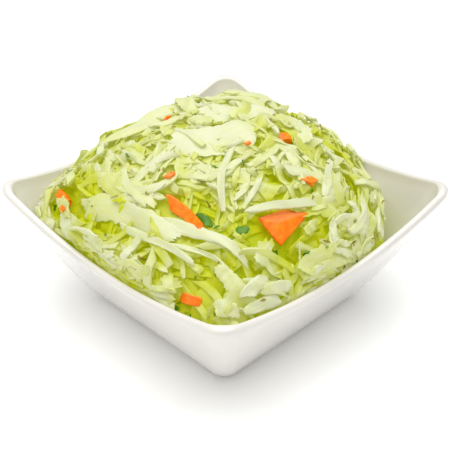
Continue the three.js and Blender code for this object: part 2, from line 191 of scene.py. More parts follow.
def glazed_porcelain():
    """Clear glaze over white porcelain: sharp, faint reflections, and a slight unevenness where the glaze has
    run."""
    made, tree, output = material("glazed porcelain")
    place = node(tree, "ShaderNodeTexCoord").outputs["Object"]
    run = node(tree, "ShaderNodeTexNoise", Vector=place, Scale=26.0, Detail=2.0).outputs["Fac"]
    bump = node(tree, "ShaderNodeBump", Height=run, Strength=0.25, Distance=0.0006).outputs["Normal"]
    tint = ramp(tree, run, (0.35, "#D6D2CC"), (0.65, "#DEDAD4"))
    glaze = node(tree, "ShaderNodeBsdfPrincipled", Base_Color=tint, Roughness=0.16, IOR=1.5, Normal=bump,
                 Coat_Weight=0.4, Coat_Roughness=0.06)
    tree.links.new(glaze.outputs["BSDF"], output.inputs["Surface"])
    return made


foot_rings = np.array([[FOOT_INNER, FOOT_INNER, FOOT_OUTER], [BASE_RADIUS] * 3, [FOOT_RECESS, 0, 0], [0] * 3])
outer_wall = ((BASE_HALF, 0), OUTER_PULL, RIM_HALF, RIM_RADIUS)
inner_wall = ((FLOOR_HALF, FLOOR_HEIGHT), INNER_PULL, RIM_HALF - LIP, INNER_RADIUS)
outer_rings = wall_rings(np.linspace(FOOT_TOP, 1, WALL_STEPS), *outer_wall)
inner_rings = wall_rings(np.linspace(1, 0, WALL_STEPS), *inner_wall)
half_turn = np.linspace(0, np.pi, LIP_STEPS + 1)[1:-1]
lip_rings = np.array([
    RIM_HALF - LIP / 2 + LIP / 2 * np.cos(half_turn),
    RIM_RADIUS + (INNER_RADIUS - RIM_RADIUS) * half_turn / np.pi,
    RIM_HEIGHT + LIP / 2 * np.sin(half_turn),
    np.full(len(half_turn), CORNER_LIFT),
])
bowl_rings = square_rings(*np.hstack([foot_rings, outer_rings, lip_rings, inner_rings]))
bowl_middles = np.array([[0, 0, FOOT_RECESS], [0, 0, FLOOR_HEIGHT]])
bowl = mesh_piece(
    "bowl_glazed",
    np.vstack([bowl_rings.reshape(-1, 3), bowl_middles]),
    skin_faces(*bowl_rings.shape[:2]),
    end_fans(*bowl_rings.shape[:2]),
)
bowl.data.materials.append(glazed_porcelain())
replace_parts(bowl, "bowl")
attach(bowl, "root")

# Core of the heap
# Under the shreds that show lies slaw packed by its own weight, seen only as dark gaps between them;
# its colour is painted shade for those gaps.
# It follows the heap's shape: highest near the middle, full to the near walls, a little short of the far wall
# and of the raised corners.
HEAP_EDGE = 46.0
HEAP_DOME = 45.2
HEAP_STEEPNESS = 3.45
HEAP_WALL = 71.0
HEAP_FAR_WALL = 68.0
HEAP_REACH = {"right": 75.0, "left": 105.0, "back": 78.5, "front": 120.0}
HEAP_SQUARENESS = 7
HEAP_LUMP = 1.5
LUMP_LENGTHS = (7, 8, 13)
LUMP_START = 1
LONG_LUMP = 0.7
# The place in the plan, the spread of the bell curve and the depth of each soft hollow
HEAP_HOLLOWS = (
    (-14.0, 34.0, 16.0, 2.8),
    (8.0, 46.0, 12.0, 3.5),
    (28.0, 43.0, 13.0, 4.5),
    (-58.0, -30.0, 14.0, 5.0),
)
# Where the lip's lift is full, from mid side, and how finely the wall is sampled to keep the slaw inside
LIFT_REACH = 66
WALL_SAMPLES = 60
CORE_DEPTH = 7.5
CORE_GAP = 1.2
CORE_LEAST = 4
CORE_LOW_SHARE = 0.8
CORE_FLOOR_GAP = 1.0
CORE_TONE = 0.8
CORE_SPAN = 73.0
CORE_STEPS = 72
UV_LENGTH = 10


def heap_share(x, y):
    """0 at the heap's middle and 1 on its plan outline: the root of the summed powers of the distances to the
    four walls and the four corner reaches."""
    right = (x + y) / math.sqrt(2)
    back = (y - x) / math.sqrt(2)
    reaches = (
        np.abs(x) / HEAP_WALL,
        np.maximum(y / HEAP_FAR_WALL, -y / HEAP_WALL),
        np.maximum(right / HEAP_REACH["right"], -right / HEAP_REACH["left"]),
        np.maximum(back / HEAP_REACH["back"], -back / HEAP_REACH["front"]),
    )
    return sum(reach ** HEAP_SQUARENESS for reach in reaches) ** (1 / HEAP_SQUARENESS)


def heap_height(x, y):
    """Height of the heap's surface over the plan: a steep-sided dome that falls by a power of the heap's
    share, low lumps that are products and sums of sine waves, and bell-shaped hollows."""
    across, back, long = LUMP_LENGTHS
    lumps = np.sin(x / across + LUMP_START) * np.sin(y / back) + LONG_LUMP * np.sin((x + y) / long)
    hollows = sum(
        deep * np.exp(-((x - at_x) ** 2 + (y - at_y) ** 2) / (2 * size ** 2))
        for at_x, at_y, size, deep in HEAP_HOLLOWS
    )
    dome = HEAP_EDGE + HEAP_DOME * (1 - heap_share(x, y) ** HEAP_STEEPNESS)
    return dome + HEAP_LUMP * lumps - hollows


def heap_normal(x, y, step=4.0):
    """Outward direction of the heap's surface, from its slopes over a small step."""
    slope_x = (heap_height(x + step, y) - heap_height(x - step, y)) / (2 * step)
    slope_y = (heap_height(x, y + step) - heap_height(x, y - step)) / (2 * step)
    normal = np.stack([-slope_x, -slope_y, np.ones_like(slope_x)], -1)
    return normal / np.linalg.norm(normal, axis=-1, keepdims=True)


wall_half, _, wall_height, wall_lift = wall_rings(np.linspace(0, 1, WALL_SAMPLES), *inner_wall)


def inside_bowl(points, gap):
    """Points moved in to the bowl's inner wall where they would cross it. The wall's half width at a point's
    height is read for no lift and for full lift, and mixed by the share of the lift at that point. In a
    corner the point ends on the corner's quarter circle."""
    x, y, z = points[..., 0], points[..., 1], points[..., 2]
    level = np.interp(z, wall_height, wall_half)
    lifted = np.interp(z, wall_height + wall_lift, wall_half)
    share = np.clip(np.minimum(np.abs(x), np.abs(y)) / LIFT_REACH, 0, 1) ** 2
    half = level + (lifted - level) * share - gap
    x = np.clip(x, -half, half)
    y = np.clip(y, -half, half)
    over_x = np.abs(x) - (half - INNER_RADIUS)
    over_y = np.abs(y) - (half - INNER_RADIUS)
    reach = np.hypot(over_x, over_y)
    outside = (over_x > 0) & (over_y > 0) & (reach > INNER_RADIUS)
    pull = np.where(outside, INNER_RADIUS / np.maximum(reach, 1e-6), 1)
    x = np.where(pull < 1, np.sign(x) * (half - INNER_RADIUS + over_x * pull), x)
    y = np.where(pull < 1, np.sign(y) * (half - INNER_RADIUS + over_y * pull), y)
    return np.stack([x, y, z], -1)


def blend(tree, share, first, second):
    """The colour that runs from the first to the second as the share grows."""
    return node(tree, "ShaderNodeMix", {"data_type": "RGBA"}, _0=share, _6=first, _7=second).outputs[2]


def times_plus(tree, value, factor, added):
    """The value times the factor, plus what is added."""
    made = node(tree, "ShaderNodeMath", {"operation": "MULTIPLY_ADD"}, _0=value, _1=factor, _2=added)
    return made.outputs[0]


def cabbage(name, light, mid, green, deep, gloss):
    """Wet cut cabbage: light passes through it and comes out yellower and greener, its fibres run along the
    cut, and its skin of dressing gives small sharp highlights. Tone runs from rib to leaf. Depth is how far
    a point lies in, and brings the deep colour: painted shade, the darker and more saturated yellow-green of
    the crevices between shreds. The glow is painted light, an emission that stands for light that comes
    through the shreds above."""
    made, tree, output = material(name)
    uv = node(tree, "ShaderNodeUVMap", {"uv_map": "cut"}).outputs["UV"]
    place = node(tree, "ShaderNodeTexCoord").outputs["Object"]
    tone = node(tree, "ShaderNodeAttribute", {"attribute_name": "tone"}).outputs["Fac"]
    depth = node(tree, "ShaderNodeAttribute", {"attribute_name": "depth"}).outputs["Fac"]
    along = node(tree, "ShaderNodeMapping", Vector=uv, Scale=(1.0, 9.0, 1.0)).outputs["Vector"]
    fibre = node(tree, "ShaderNodeTexNoise", Vector=along, Scale=1.3, Detail=3.0).outputs["Fac"]
    patch = node(tree, "ShaderNodeTexNoise", Vector=place, Scale=140.0, Detail=2.0).outputs["Fac"]
    streaked = times_plus(tree, fibre, 0.9, times_plus(tree, patch, 0.5, tone))
    shift = node(tree, "ShaderNodeMath", {"operation": "ADD"}, _0=streaked, _1=-0.7).outputs[0]
    colour = ramp(tree, shift, (0.1, light), (0.5, mid), (0.95, green))
    # Painted shade: the deeper a point lies under the crests, the more its colour turns to the deep colour, a
    # darker and more saturated yellow-green
    painted_shade_colour = blend(tree, depth, colour, linear(deep))
    grain = node(tree, "ShaderNodeBump", Height=fibre, Strength=0.5, Distance=0.0005).outputs["Normal"]
    # Painted light: an emission, from a pale green where depth is none to the deep colour where it is full,
    # that lifts the shade in and between the shreds
    glow = blend(tree, depth, linear("#A4A868"), linear(deep))
    flesh = node(tree, "ShaderNodeBsdfPrincipled", Base_Color=painted_shade_colour, Roughness=gloss, IOR=1.36, Normal=grain,
                 Coat_Weight=0.12, Coat_Roughness=0.2, Emission_Color=glow, Emission_Strength=0.42)
    through = node(tree, "ShaderNodeBsdfTranslucent", Color=painted_shade_colour, Normal=grain)
    thin = node(tree, "ShaderNodeMixShader", _0=0.15, _1=flesh.outputs["BSDF"], _2=through.outputs["BSDF"])
    tree.links.new(thin.outputs["Shader"], output.inputs["Surface"])
    return made


core_line = np.linspace(-CORE_SPAN, CORE_SPAN, CORE_STEPS + 1)
core_x, core_y = np.meshgrid(core_line, core_line, indexing="ij")
core_top = np.stack([core_x, core_y, heap_height(core_x, core_y) - CORE_DEPTH], -1)
core_top[..., 2] = np.maximum(core_top[..., 2], FLOOR_HEIGHT + CORE_LEAST)
core_top = inside_bowl(core_top, CORE_GAP)
core_low = core_top.copy()
core_low[..., :2] *= CORE_LOW_SHARE
core_low[..., 2] = FLOOR_HEIGHT + CORE_FLOOR_GAP
core_low = inside_bowl(core_low, CORE_GAP)
core_side = CORE_STEPS + 1
core_grid = np.arange(core_side ** 2).reshape(core_side, core_side)
core_quads = np.stack([core_grid[:-1, :-1], core_grid[1:, :-1], core_grid[1:, 1:], core_grid[:-1, 1:]], -1)
core_quads = core_quads.reshape(-1, 4)
core_edge = np.concatenate([core_grid[:-1, 0], core_grid[-1, :-1], core_grid[:0:-1, -1], core_grid[0, :0:-1]])
core_after = np.roll(core_edge, -1)
core_wall = np.stack([core_edge + core_side ** 2, core_after + core_side ** 2, core_after, core_edge], -1)
core = mesh_piece(
    "slaw_core",
    np.vstack([core_top.reshape(-1, 3), core_low.reshape(-1, 3)]),
    np.vstack([core_quads, core_quads[:, ::-1] + core_side ** 2, core_wall]),
    uv=np.tile(np.stack([core_x, core_y], -1).reshape(-1, 2) / UV_LENGTH, (2, 1)),
    tone=np.full(2 * core_side ** 2, CORE_TONE),
    depth=np.ones(2 * core_side ** 2),
)
# Painted shade: the core takes darker, more saturated yellow-greens than the shreds, and its depth of 1 at
# every point gives it the full deep colour and painted glow
core.data.materials.append(cabbage("packed cabbage", "#C8CC38", "#B4BC20", "#94A80C", "#A8B40A", 0.5))
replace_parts(core, "slaw")
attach(core, "root")

# Packed shreds
# White cabbage cut on a slaw blade: strips about 3 mm wide, tossed and dropped in a heap.
# Each one comes down on those that lie there already, gives a little, and holds the next one up.
CAMERA_TURN = math.radians(45.4)
CAMERA_RISE = math.radians(35.48)
CAMERA_DISTANCE = 652.1
to_right = np.array([math.cos(CAMERA_TURN), math.sin(CAMERA_TURN), 0])
to_camera = np.array([
    math.sin(CAMERA_TURN) * math.cos(CAMERA_RISE),
    -math.cos(CAMERA_TURN) * math.cos(CAMERA_RISE),
    math.sin(CAMERA_RISE),
])
camera_place = np.array([0, 0, RIM_HEIGHT]) + CAMERA_DISTANCE * to_camera
# The relief is the height off the heap's surface of what lies there already, in square cells of the plan.
# The drop samples a piece at FINE places for each of its stations, and high spots from a quantile carry it.
SEED = 11
CELL = 0.8
MAP_HALF = 80
MAP_SIDE = int(2 * MAP_HALF / CELL)
STATIONS = 10
FINE = 3
FINE_ACROSS = 5
REST_QUANTILE = 0.6
LIMP_SPREAD = 7
# How places are drawn: tries for each piece, the edge of the plan, the share kept where the heap is level,
# the power by which steep flanks get more, and where and how surely the wall turns pieces along it
TRIES = 4
PLAN_EDGE = 0.97
LEVEL_KEPT = 0.4
FLANK_POWER = 0.6
WALL_ZONE = 0.55
WALL_HOLD = 1.2
# How sizes are drawn: the power that favours short pieces, how many curl more and by what factor, and how
# fast a piece sways along its length
SHORT_POWER = 1.5
CURLED_SHARE = 0.12
CURLED_MORE = 5
SWAY_WAVE = 5
# How a cut piece is shaped: how its ends narrow, thin and slant, the limits of its torn edges, its ripple and
# cup, and its section's soft edge
NARROW_POWER = 7
THIN_END = 0.35
THIN_POWER = 6
SLANT = 0.8
SLANT_POWER = 4
RAG_LIMITS = (0.4, 1.5)
TORN_LIMIT = 0.4
RIPPLES = 9
RIPPLE_LEAN = 4
CUP_LEVEL = 0.4
SOFT_SIDE = 0.42
SOFT_HEIGHT = 0.2
# How pieces are kept off the wall: rounds of pushing, the gap and height they are pushed at, and the gap in
# the mesh
PUSHES = 3
PUSH_GAP = 0.8
LYING_HEIGHT = 1
PIECE_GAP = 0.4
GAP_SLACK = 0.3
# How far under the crests the deep colour, which is painted shade, starts, over what height it grows, how
# much the tone drifts along a piece, and the angle in degrees past which a cut edge is crisp
DEPTH_START = 1.7
DEPTH_RANGE = 5.6
DRIFT = 0.12
SHARP_CUT = 50
fine_shares = np.linspace(-0.5, 0.5, FINE * (STATIONS - 1) + 1)
random = np.random.default_rng(SEED)
relief = np.full((MAP_SIDE, MAP_SIDE), -CORE_DEPTH)


def between(low, high, count):
    """Evenly spread random numbers between two limits."""
    return low + (high - low) * random.random(count)


def some_times(factor, share, count):
    """The factor for a random share of the pieces, and 1 for the others."""
    return np.where(random.random(count) < share, factor, 1)


def map_cells(x, y):
    """The relief's cells under plan points."""
    return np.clip(((np.stack([x, y]) + MAP_HALF) / CELL).astype(int), 0, MAP_SIDE - 1)


def scattered(count, length, width, thick, curl, tilt, tone, rag=0.08, cup=0.0, stiff=0.5, inner=0.0):
    """The places and sizes of a number of cut pieces. Places are even over the plan, from the inner share
    out, but thinned where the heap is level. Near the wall the pieces lie level along it. The call gives the
    limits of length, width and thickness, the spread of curl and tilt, and the tone's middle and spread."""
    tried = TRIES * count
    angle = random.random(tried) * 2 * np.pi
    out = np.sqrt(inner ** 2 + (PLAN_EDGE - inner ** 2) * random.random(tried))
    out = out / heap_share(np.cos(angle), np.sin(angle))
    x, y = out * np.cos(angle), out * np.sin(angle)
    keep = np.flatnonzero(random.random(tried) < LEVEL_KEPT / heap_normal(x, y)[:, 2] ** FLANK_POWER)[:count]
    count = len(keep)
    x, y = x[keep], y[keep]
    downhill = heap_normal(x, y)
    level = np.arctan2(downhill[:, 0], -downhill[:, 1]) + random.normal(0, 0.5, count)
    by_wall = random.random(count) < WALL_HOLD * (heap_share(x, y) - WALL_ZONE)
    return {
        "x": x,
        "y": y,
        "heading": np.where(by_wall, level, random.random(count) * 2 * np.pi),
        "length": length[0] + (length[1] - length[0]) * random.random(count) ** SHORT_POWER,
        "width": between(*width, count),
        "end_width": between(0.55, 1.15, count),
        "thick": between(*thick, count),
        "curl": random.normal(0, 1, count) * curl * some_times(CURLED_MORE, CURLED_SHARE, count),
        "sway": random.normal(0, 0.14, count),
        "tilt": random.normal(0, tilt, count),
        "roll": random.normal(0, 0.3, count),
        "twist": random.normal(0, 0.7, count),
        "arch": between(-0.05, 0.10, count),
        "wave": between(0.0, 0.5, count),
        "phase": random.random(count) * 6.28,
        "tone": np.clip(random.normal(tone[0], tone[1], count), 0, 1),
        "stiff": np.full(count, stiff),
        "point": between(0.0, 0.3, count),
        "rag": rag * between(0.4, 1.6, count),
        "cup": random.normal(0, cup, count),
    }


def middle_line(pieces, shares):
    """Turn, distance ahead and distance aside of each piece's middle line: its direction turns evenly by its
    curl and swings by its sway, as a sine wave, and is summed up along the length."""
    length = pieces["length"][:, None]
    swing = np.sin(SWAY_WAVE * shares + pieces["phase"][:, None])
    turn = pieces["curl"][:, None] * length * shares + pieces["sway"][:, None] * swing
    step = length * (shares[1] - shares[0])
    ahead = np.cumsum(np.cos(turn), 1) * step
    aside = np.cumsum(np.sin(turn), 1) * step
    return turn, ahead - ahead.mean(1, keepdims=True), aside - aside.mean(1, keepdims=True)


def plan_of(pieces, sideways, slant=0.0):
    """Plan places of points a distance sideways of each piece's middle line and a slant ahead along it, laid
    in the plane that touches the heap there."""
    turn, ahead, aside = middle_line(pieces, fine_shares)
    every = FINE if sideways.shape[1] == STATIONS else 1
    turn, ahead, aside = (part[:, ::every, None] for part in (turn, ahead, aside))
    ahead = ahead + slant * np.cos(turn) - np.sin(turn) * sideways
    aside = aside + slant * np.sin(turn) + np.cos(turn) * sideways
    off = heap_normal(pieces["x"], pieces["y"])
    heading = np.stack([np.cos(pieces["heading"]), np.sin(pieces["heading"]), np.zeros(len(off))], -1)
    along = heading - off * np.sum(heading * off, -1, keepdims=True)
    along /= np.linalg.norm(along, axis=-1, keepdims=True)
    across = np.cross(off, along)
    x = pieces["x"][:, None, None] + ahead * along[:, None, None, 0] + aside * across[:, None, None, 0]
    y = pieces["y"][:, None, None] + ahead * along[:, None, None, 1] + aside * across[:, None, None, 1]
    return x, y


def widths(pieces, shares):
    """Width of each piece at shares of its length: it runs evenly to its end width, and narrows at both ends
    by a high power of the share."""
    taper = 1 + (pieces["end_width"][:, None] - 1) * (shares + 0.5)
    narrow = 1 - pieces["point"][:, None] * np.abs(2 * shares) ** NARROW_POWER
    return pieces["width"][:, None] * taper * narrow


def pushed_in(pieces):
    """The same pieces, moved in from the bowl's wall in a few rounds, each time by as much as they cross it."""
    sides = widths(pieces, np.linspace(-0.5, 0.5, STATIONS))[..., None] * np.array([-0.5, 0.5])
    for _ in range(PUSHES):
        x, y = plan_of(pieces, sides)
        points = np.stack([x, y, heap_height(x, y) + LYING_HEIGHT], -1)
        moved = (inside_bowl(points, PUSH_GAP) - points).reshape(len(x), -1, 3)
        pieces["x"] = pieces["x"] + moved[..., 0].min(1) + moved[..., 0].max(1)
        pieces["y"] = pieces["y"] + moved[..., 1].min(1) + moved[..., 1].max(1)
    return pieces


def lay_down(pieces):
    """Drops the pieces one after another on the heap's relief. A stiff one rests on the high spots under it,
    a limp one follows the mean under it, smoothed along its length, and the stiffness mixes the two. Returns
    each one's height along its length, and raises the relief."""
    rolled = (pieces["roll"][:, None] + pieces["twist"][:, None] * fine_shares)[..., None]
    side = widths(pieces, fine_shares)[..., None] * np.linspace(-0.5, 0.5, FINE_ACROSS)
    x, y = plan_of(pieces, side * np.cos(rolled))
    rise = pieces["tilt"][:, None] * pieces["length"][:, None] * fine_shares
    rise = rise + pieces["arch"][:, None] * pieces["length"][:, None] * (1 - 4 * fine_shares ** 2)
    rigid = rise[..., None] + side * np.sin(rolled)
    column, row = map_cells(x, y)
    kernel = np.ones(LIMP_SPREAD) / LIMP_SPREAD
    heights = np.empty(rise.shape)
    for k in range(len(x)):
        under = relief[column[k], row[k]]
        lift = np.quantile(under - rigid[k], REST_QUANTILE)
        limp = np.convolve(np.pad(np.mean(under, 1), LIMP_SPREAD // 2, "edge"), kernel, "valid")
        stiff = pieces["stiff"][k]
        middle = stiff * (lift + rise[k]) + (1 - stiff) * limp + pieces["thick"][k] / 2
        heights[k] = middle
        top = middle[:, None] + rigid[k] - rise[k][:, None] + pieces["thick"][k] / 2
        np.maximum.at(relief, (column[k], row[k]), top)
    return heights


def section(count):
    """Sides and heights of a flat cut piece's section, along its top and back under it, with soft edges."""
    side = np.linspace(-0.5, 0.5, count)
    side[[1, -2]] = (-SOFT_SIDE, SOFT_SIDE)
    height = np.full(count, 0.5)
    height[[0, -1]] = SOFT_HEIGHT
    return np.concatenate([side, side[::-1]]), np.concatenate([height, -height])


def strip_faces(pieces, stations, around):
    """Faces of closed strips: round each strip from station to station, and across both of its ends."""
    sides = skin_faces(stations, around)[:, ::-1]
    top = np.arange(around // 2 - 1)
    start = np.stack([top, top + 1, around - 2 - top, around - 1 - top], -1)
    faces = np.vstack([sides, start, (start + (stations - 1) * around)[:, ::-1]])
    return (np.arange(pieces)[:, None, None] * stations * around + faces).reshape(-1, 4)


def uneven(shape):
    """Random unevenness along the second axis, about 1 in size: part of it changes from station to station,
    and part of it is smoothed over five stations."""
    rough = random.normal(0, 1, shape)
    smooth = sum(np.roll(rough, shift, 1) for shift in range(-2, 3)) / math.sqrt(5)
    return 0.6 * random.normal(0, 1, shape) + 0.8 * smooth


def cut_points(pieces, heights, count):
    """Points, texture places and heights off the heap of every piece: its bent middle line in the plan, its
    width along the section with ragged edges and slanting, torn ends, its height from the drop, and a ripple
    and cup across a leaf. Its top and underside tear alike, by less than the distance between stations. A
    cross-section that would cross the bowl's wall is moved in as a whole, and so keeps its thickness."""
    amount, stations = heights.shape
    shares = np.linspace(-0.5, 0.5, stations)
    side, level = section(count)
    around = len(side)
    rolled = (pieces["roll"][:, None] + pieces["twist"][:, None] * shares)[..., None]
    edge = 1 + pieces["rag"][:, None, None] * uneven((amount, stations, 2))
    edge = np.clip(np.where(side < 0, edge[..., :1], edge[..., 1:]), *RAG_LIMITS)
    reach = widths(pieces, shares)[..., None] * side * edge
    taper = 1 - THIN_END * np.abs(2 * shares) ** THIN_POWER
    thick = (pieces["thick"][:, None] * taper)[..., None] * level
    slant = random.normal(0, SLANT, (amount, 1, 1)) * reach * (2 * shares[:, None]) ** SLANT_POWER
    torn = np.minimum(pieces["rag"] * pieces["width"], TORN_LIMIT * pieces["length"] / stations)
    is_end = np.abs(shares) == 0.5
    ends = random.normal(0, 1, (amount, stations, count)) * is_end[:, None]
    slant = slant + torn[:, None, None] * np.concatenate([ends, ends[..., ::-1]], -1)
    sideways = reach * np.cos(rolled) - thick * np.sin(rolled)
    outwards = reach * np.sin(rolled) + thick * np.cos(rolled)
    ripple = np.sin(RIPPLES * shares[:, None] + RIPPLE_LEAN * side + pieces["phase"][:, None, None])
    outwards = outwards + pieces["wave"][:, None, None] * ripple
    cup = (pieces["cup"][:, None, None] * pieces["width"][:, None, None]) * (4 * side ** 2 - CUP_LEVEL)
    outwards = outwards + cup
    x, y = plan_of(pieces, sideways, slant)
    height = heights[..., None] + outwards
    points = np.stack([x, y, heap_height(x, y)], -1) + heap_normal(x, y) * height[..., None]
    moved = inside_bowl(points, PIECE_GAP) - points
    points = points + moved.min(2, keepdims=True) + moved.max(2, keepdims=True)
    points = inside_bowl(points, PIECE_GAP - GAP_SLACK)
    u = (pieces["length"][:, None] * shares)[..., None] / UV_LENGTH + 7 * random.random((amount, 1, 1))
    v = reach / UV_LENGTH + 7 * random.random((amount, 1, 1))
    return points, np.stack(np.broadcast_arrays(u + 0 * v, v), -1), height


def in_view(points, kept):
    """Whether each piece, a row of points, stands in or in front of one of the balls to be kept in view."""
    hidden = np.zeros(len(points), bool)
    for x, y, z, radius in kept:
        middle = np.array([x, y, z])
        line = (camera_place - middle) / np.linalg.norm(camera_place - middle)
        away = points - middle
        ahead = away @ line
        aside = np.linalg.norm(away - ahead[..., None] * line, axis=-1)
        near = (aside < radius) & (ahead > -0.6 * radius)
        hidden |= near.reshape(len(points), -1).any(1)
    return hidden


def chosen(pieces, which):
    """The pieces for which the test holds."""
    return {key: value[which] for key, value in pieces.items()}


def cut_piece(name, pieces, heights, count, finish, clear=(), painted_shade_share=1.0):
    """One mesh of many cut pieces, without those that would cover a ball to be kept clear. Depth comes from
    how far each point lies under the crests around it, times the share of it that counts for these pieces.
    Depth brings the cabbage's painted shade and painted glow."""
    points, uv, height = cut_points(pieces, heights, count)
    free = ~in_view(points, clear)
    pieces, points, uv, height = chosen(pieces, free), points[free], uv[free], height[free]
    amount, stations, around = height.shape
    column, row = map_cells(points[..., 0], points[..., 1])
    # Painted shade: depth under the crests, times the share given, darkens and greens a point in the cabbage
    # finish
    depth = painted_shade_share * np.clip((crest[column, row] - height - DEPTH_START) / DEPTH_RANGE, 0, 1)
    drift = random.normal(0, DRIFT, (amount, 1, 1)) * np.linspace(-1, 1, stations)[:, None]
    tone = np.clip(pieces["tone"][:, None, None] + drift + 0 * height, 0, 1)
    faces = strip_faces(amount, stations, around)
    piece = mesh_piece(name, points.reshape(-1, 3), faces, uv=uv.reshape(-1, 2), tone=tone, depth=depth)
    piece.data.set_sharp_from_angle(angle=math.radians(SHARP_CUT))
    piece.data.materials.append(finish)
    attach(piece, "root")
    return piece


def merged(*groups):
    """Several groups of pieces as one, in a random order of falling."""
    order = random.permutation(sum(len(group["x"]) for group in groups))
    return {key: np.concatenate([group[key] for group in groups])[order] for key in groups[0]}


packed = pushed_in(merged(
    scattered(560, (14, 30), (2.8, 4.2), (1.0, 1.6), 0.01, 0.04, (0.6, 0.2), rag=0.08),
    scattered(150, (12, 22), (6, 11), (0.8, 1.2), 0.01, 0.04, (0.6, 0.2), rag=0.12),
    scattered(260, (7, 16), (3, 9), (0.8, 1.2), 0.01, 0.04, (0.6, 0.2), rag=0.12, inner=0.85),
))
packed_heights = lay_down(packed)

# Carrot pieces
# Raw carrot chopped with the cabbage: a wedge, a curved slice and smaller bits, wet and bright where cut.
# They were tossed with the shreds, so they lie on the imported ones, and later shreds lie against them.
WEDGE_CORNERS = (
    (44.4, -23.0, 80.4), (52.2, -2.2, 76.2), (50.4, -17.8, 78.4), (55.3, -21.5, 72.0), (45, -8.4, 77.2),
    (46, -11, 70.5),
)
WEDGE_ROUND = 0.6
WEDGE_TURNS = 96
WEDGE_RISES = 66
WEDGE_SHARPNESS = 40
STRIP_ARCH = 0.6
BLUNT_END = 0.1
SHARP_CARROT = 40
# Each row of a picked piece is its start and end in the plan, its widths there, thickness, sideways bow,
# roll, twist, how far the start and the end stand up, ripple, raggedness and tone. A bow below STRAIGHT
# counts as none, and a piece with a rise over STANDING is stiff.
STRAIGHT = 0.01
STANDING = 2
CARROT_STRIPS = {
    "carrot_slice": ((10.5, -43.5), (32, -46.5), (6.5, 3.5), 3.0, 1.6, 0.35, 0.0, (-1, -1), 0.0, 0.05, 0.5),
    "carrot_curl": ((-52.5, -54.3), (-42, -59.5), (4.2, 5.4), 3.0, 0, 0.0, 0.0, (0, -1), 0.0, 0.05, 0.4),
    "carrot_stick": ((38.5, -64.4), (47.5, -60.4), (4.4, 4.4), 3.4, 0, 0.0, 0.0, (-1, -1), 0.0, 0.03, 0.5),
    "carrot_slab": ((16, 14.5), (17.8, 25.5), (5, 5.6), 3.4, 0, 0.0, 0.0, (-0.6, -0.6), 0.0, 0.04, 0.6),
}


def wet_carrot():
    """Wet cut carrot: deep orange with light glowing through thin edges, faint rays in the flesh and a thin
    film of dressing. Faces that point up turn a paler pink: a painted sheen of the light from above."""
    made, tree, output = material("wet cut carrot")
    place = node(tree, "ShaderNodeTexCoord").outputs["Object"]
    facing = node(tree, "ShaderNodeNewGeometry").outputs["Normal"]
    up = node(tree, "ShaderNodeSeparateXYZ", _0=facing).outputs["Z"]
    ray = node(tree, "ShaderNodeTexNoise", Vector=place, Scale=420.0, Detail=3.0).outputs["Fac"]
    flesh = ramp(tree, ray, (0.3, "#FF6E00"), (0.7, "#FF8E08"))
    # Painted sheen: faces whose normal points nearly straight up are mixed up to 0.6 of the way to pale pink
    painted_sheen = node(tree, "ShaderNodeMapRange", _0=up, _1=0.9, _2=0.98, _3=0.0, _4=0.6).outputs[0]
    colour = blend(tree, painted_sheen, flesh, linear("#FF8A5C"))
    grain = node(tree, "ShaderNodeBump", Height=ray, Strength=0.4, Distance=0.0004).outputs["Normal"]
    skin = node(tree, "ShaderNodeBsdfPrincipled", Base_Color=colour, Roughness=0.3, IOR=1.36, Normal=grain,
                Subsurface_Weight=0.5, Subsurface_Radius=(1.0, 0.6, 0.3), Subsurface_Scale=0.001,
                Coat_Weight=0.15, Coat_Roughness=0.12)
    tree.links.new(skin.outputs["BSDF"], output.inputs["Surface"])
    return made


def hull_planes(corners):
    """Outward unit normals and distances from the origin of the planes that bound a set of corners: those
    through three of them that leave all the others behind."""
    count = len(corners)
    triples = [(i, j, k) for i in range(count) for j in range(i) for k in range(j)]
    normals = np.array([np.cross(corners[j] - corners[i], corners[k] - corners[i]) for i, j, k in triples])
    normals /= np.linalg.norm(normals, axis=1, keepdims=True)
    far = np.sum(normals * corners[[i for i, _, _ in triples]], 1)
    sign = np.where(far < 0, -1, 1)
    normals, far = normals * sign[:, None], far * sign
    outer = np.all(normals @ corners.T <= far[:, None] + 1e-6, 1)
    return normals[outer], far[outer]


def rounded_chunk(corners, turns, rises, sharpness):
    """A convex chunk with rounded edges, as points on a grid of directions. Its reach in a direction is the
    inverse of a high root of the summed high powers of the closeness of every bounding plane."""
    middle = corners.mean(0)
    normals, far = hull_planes(corners - middle)
    rise = np.linspace(-np.pi / 2, np.pi / 2, rises)[1:-1, None]
    turn = np.arange(turns) * 2 * np.pi / turns
    way = np.stack([np.cos(rise) * np.cos(turn), np.cos(rise) * np.sin(turn), np.sin(rise) + 0 * turn], -1)
    way = np.vstack([way.reshape(-1, 3), [[0, 0, -1], [0, 0, 1]]])
    close = np.maximum(way @ normals.T, 0) / (far + WEDGE_ROUND)
    return middle + way / (np.sum(close ** sharpness, 1) ** (1 / sharpness))[:, None]


